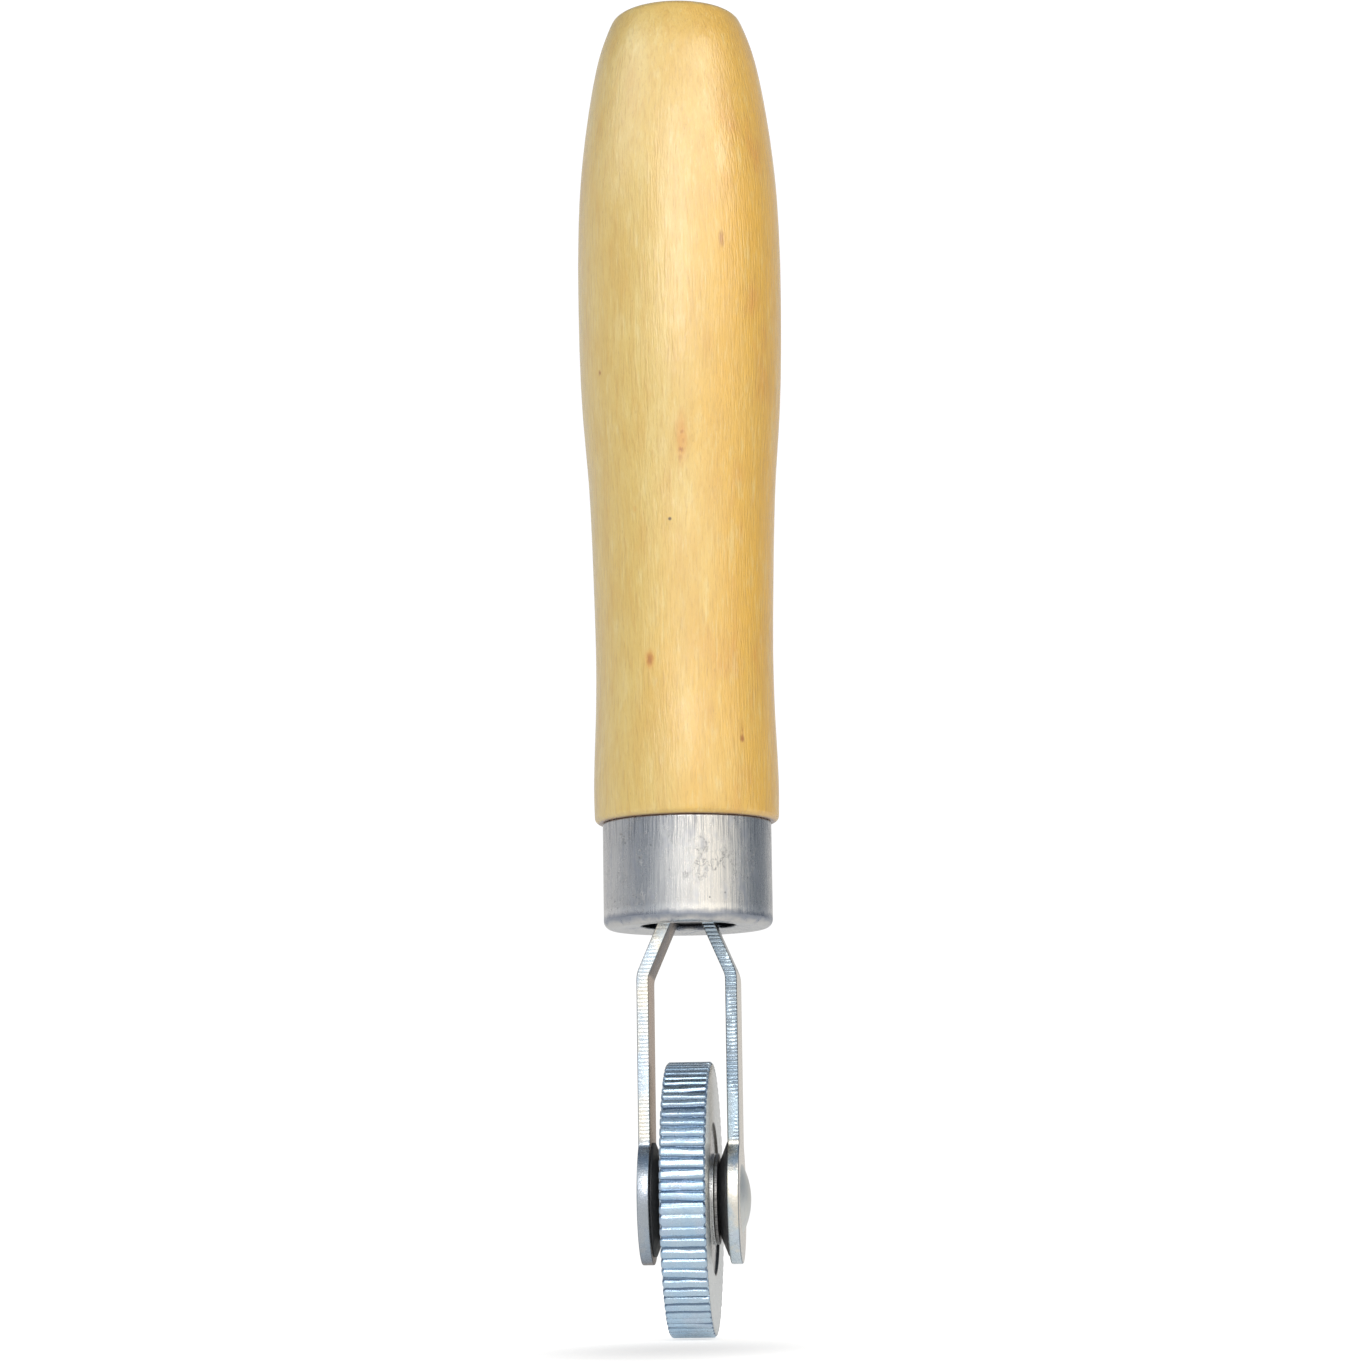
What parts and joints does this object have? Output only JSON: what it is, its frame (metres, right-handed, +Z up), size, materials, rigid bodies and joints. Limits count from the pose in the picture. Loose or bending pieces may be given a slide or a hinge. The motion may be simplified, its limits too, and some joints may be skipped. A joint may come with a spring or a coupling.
{
  "type": "clay texture roller",
  "caption": "Hand roller with a turned wood handle, drawn ferrule, bent steel fork and a ridged wheel that turns on a riveted axle, for pressing lines into clay or closing seams.",
  "frame": {"origin": "centre of the tool's footprint at the lowest ridge of the wheel, under the handle's axis", "axes": "+Z up the handle from the wheel to the butt, +X along the axle towards the domed rivet head, Y across the fork arms' width"},
  "size_m": [0.0292, 0.038, 0.19],
  "materials": {
    "handle_wood": "pale close-grained wood under a satin clear lacquer",
    "ferrule_metal": "drawn metal with fine axial streaks",
    "fork_zinc": "bright zinc plating over sheared strip",
    "wheel_zinc": "bluish zinc plating",
    "sleeve_steel": "plain turned steel",
    "washer_steel": "thin stamped steel",
    "cone_plastic": "black moulded plastic",
    "rivet_zinc": "zinc plating, smooth domed head"
  },
  "bodies": {
    "frame": {"handle": "handle_wood", "ferrule": "ferrule_metal", "fork_arm_left": "fork_zinc", "fork_arm_right": "fork_zinc", "spacer_sleeve": "sleeve_steel", "thrust_washer_left": "washer_steel", "thrust_washer_right": "washer_steel", "spacer_cone_left": "cone_plastic", "spacer_cone_right": "cone_plastic", "axle_rivet": "rivet_zinc"},
    "wheel": {"wheel": "wheel_zinc"}
  },
  "joints": [
    {"name": "wheel_spin", "type": "hinge", "parent": "frame", "child": "wheel", "pos_m": [0, 0, 0.019], "axis": [1, 0, 0], "continuous": true}
  ]
}
